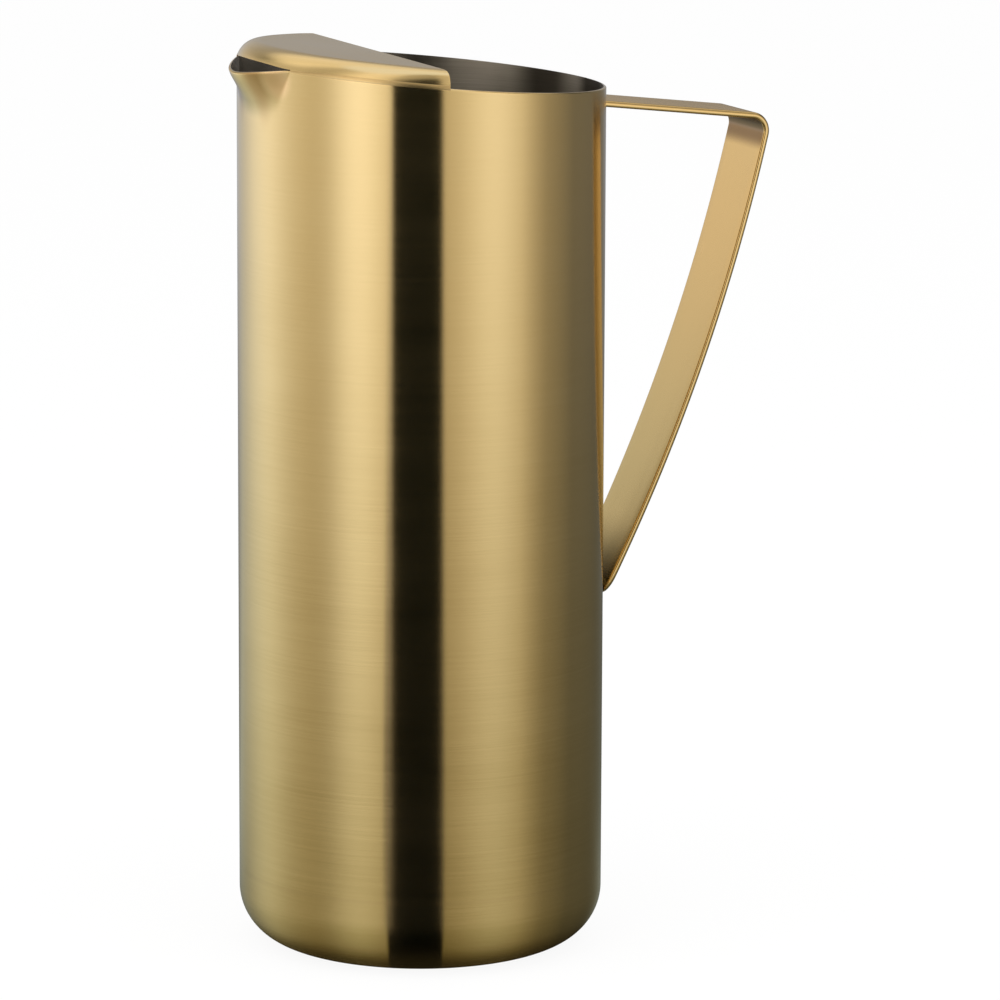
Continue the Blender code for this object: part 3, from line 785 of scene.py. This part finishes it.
azimuth = np.linspace(-180, 180, CARD_COLUMNS)[:, None]
reach = np.concatenate((np.geomspace(CARD_HOLE, CARD_RADIUS, TABLE_RINGS), np.full(CARD_ROWS, CARD_RADIUS)))
height = np.concatenate((np.full(TABLE_RINGS, CARD_FOOT), np.geomspace(CARD_BEND, CARD_TOP, CARD_ROWS)))
near = 1 - reach / CARD_RADIUS
contact = np.interp(reach, CONTACT_AT, CONTACT)[:, None] ** CONTACT_WARM
light = card_light(mirrored(azimuth, reach), height, near) * table_falloff(azimuth, near) * contact
light = light + CONTACT_GLOW * (1 - contact) ** GLOW_CURVE

card_grid = (CARD_COLUMNS, TABLE_RINGS + CARD_ROWS)
bearing = TO_CAMERA + np.radians(azimuth)
card_points = np.stack((
    reach * np.cos(bearing), reach * np.sin(bearing), np.broadcast_to(height, card_grid)), axis=-1)
number = np.arange(math.prod(card_grid)).reshape(card_grid)
quads = np.stack((number[:-1, :-1], number[:-1, 1:], number[1:, 1:], number[1:, :-1]), axis=-1)
card_mesh = bpy.data.meshes.new("studio_cards")
card_mesh.from_pydata(card_points.reshape(-1, 3), [], quads.reshape(-1, 4).tolist())
card_colour = card_mesh.attributes.new("light", "FLOAT_COLOR", "POINT")
card_colour.data.foreach_set("color", np.concatenate((light, np.ones((*card_grid, 1))), axis=-1).ravel())
cards = bpy.data.objects.new("studio_cards", card_mesh)
bpy.context.scene.collection.objects.link(cards)
card_glow = bpy.data.materials.new("card_light")
wire = bare_tree(card_glow)
colour = wire.node("ShaderNodeAttribute", {"attribute_name": "light"}, out="Color")
shine = wire.node("ShaderNodeEmission", {}, {"Color": colour, "Strength": 1.0})
wire.node("ShaderNodeOutputMaterial", {}, {"Surface": shine})
card_glow.cycles.emission_sampling = "NONE"
card_mesh.materials.append(card_glow)
cards.visible_camera = cards.visible_diffuse = cards.visible_shadow = False

# Lamps and room
# Two large soft lamps in front of the pitcher, to the left and the right of the camera, in a white room.
# The lamps draw the soft shadow on the table and don't show in the metal.
LAMP_SIZE, LAMP_AWAY, LAMP_AIM = 1.6, 1.2, 0.12      # side, distance from the axis, and height it points at
LAMPS = (("lamp_left", -45, 1.5, 14), ("lamp_right", 50, 1.3, 10))   # azimuth, height and watts
ROOM_LIGHT = 0.9                                 # on the object; what is seen of the room is white

for name, lamp_azimuth, lamp_height, power in LAMPS:
    lamp_data = bpy.data.lights.new(name, "AREA")
    lamp_data.size = LAMP_SIZE
    lamp_data.energy = power
    lamp = bpy.data.objects.new(name, lamp_data)
    bearing = TO_CAMERA + math.radians(lamp_azimuth)
    lamp.location = (LAMP_AWAY * math.cos(bearing), LAMP_AWAY * math.sin(bearing), lamp_height)
    lamp.rotation_euler = (math.atan2(LAMP_AWAY, lamp_height - LAMP_AIM), 0, bearing + math.pi / 2)
    lamp.visible_glossy = False
    bpy.context.scene.collection.objects.link(lamp)

world = bpy.data.worlds.new("white_room")
wire = bare_tree(world)
room_light = ROOM_LIGHT + (1 - ROOM_LIGHT) * seen(wire)
room = wire.node("ShaderNodeBackground", {}, {"Color": (1, 1, 1, 1), "Strength": room_light})
wire.node("ShaderNodeOutputWorld", {}, {"Surface": room})
bpy.context.scene.world = world

# Camera
# A long lens a little above the pitcher, at the photograph's viewing angle: the spout to the left and the
# handle to the right, with the mouth seen from slightly above.
CAMERA_DISTANCE, CAMERA_HEIGHT = 1.8, 0.4762
CAMERA_PITCH = math.radians(90 - 10.92)          # it dips 10.92 degrees from level
CAMERA_ROLL = math.radians(-0.23)
CAMERA_SWING = math.radians(0.68)                # the axis stands this far left of the middle
CAMERA_YAW = -(CAMERA_AZIMUTH + CAMERA_SWING)
HALF_FRAME, FOCAL_LENGTH = 500, 6374.4           # pixels
camera_data = bpy.data.cameras.new("camera")
camera_data.angle = 2 * math.atan(HALF_FRAME / FOCAL_LENGTH)
camera = bpy.data.objects.new("camera", camera_data)
camera.location = (
    CAMERA_DISTANCE * math.cos(TO_CAMERA), CAMERA_DISTANCE * math.sin(TO_CAMERA), CAMERA_HEIGHT)
camera.rotation_euler = (CAMERA_PITCH, CAMERA_ROLL, CAMERA_YAW)
bpy.context.scene.collection.objects.link(camera)
bpy.context.scene.camera = camera
bpy.context.scene.view_settings.view_transform = "Standard"
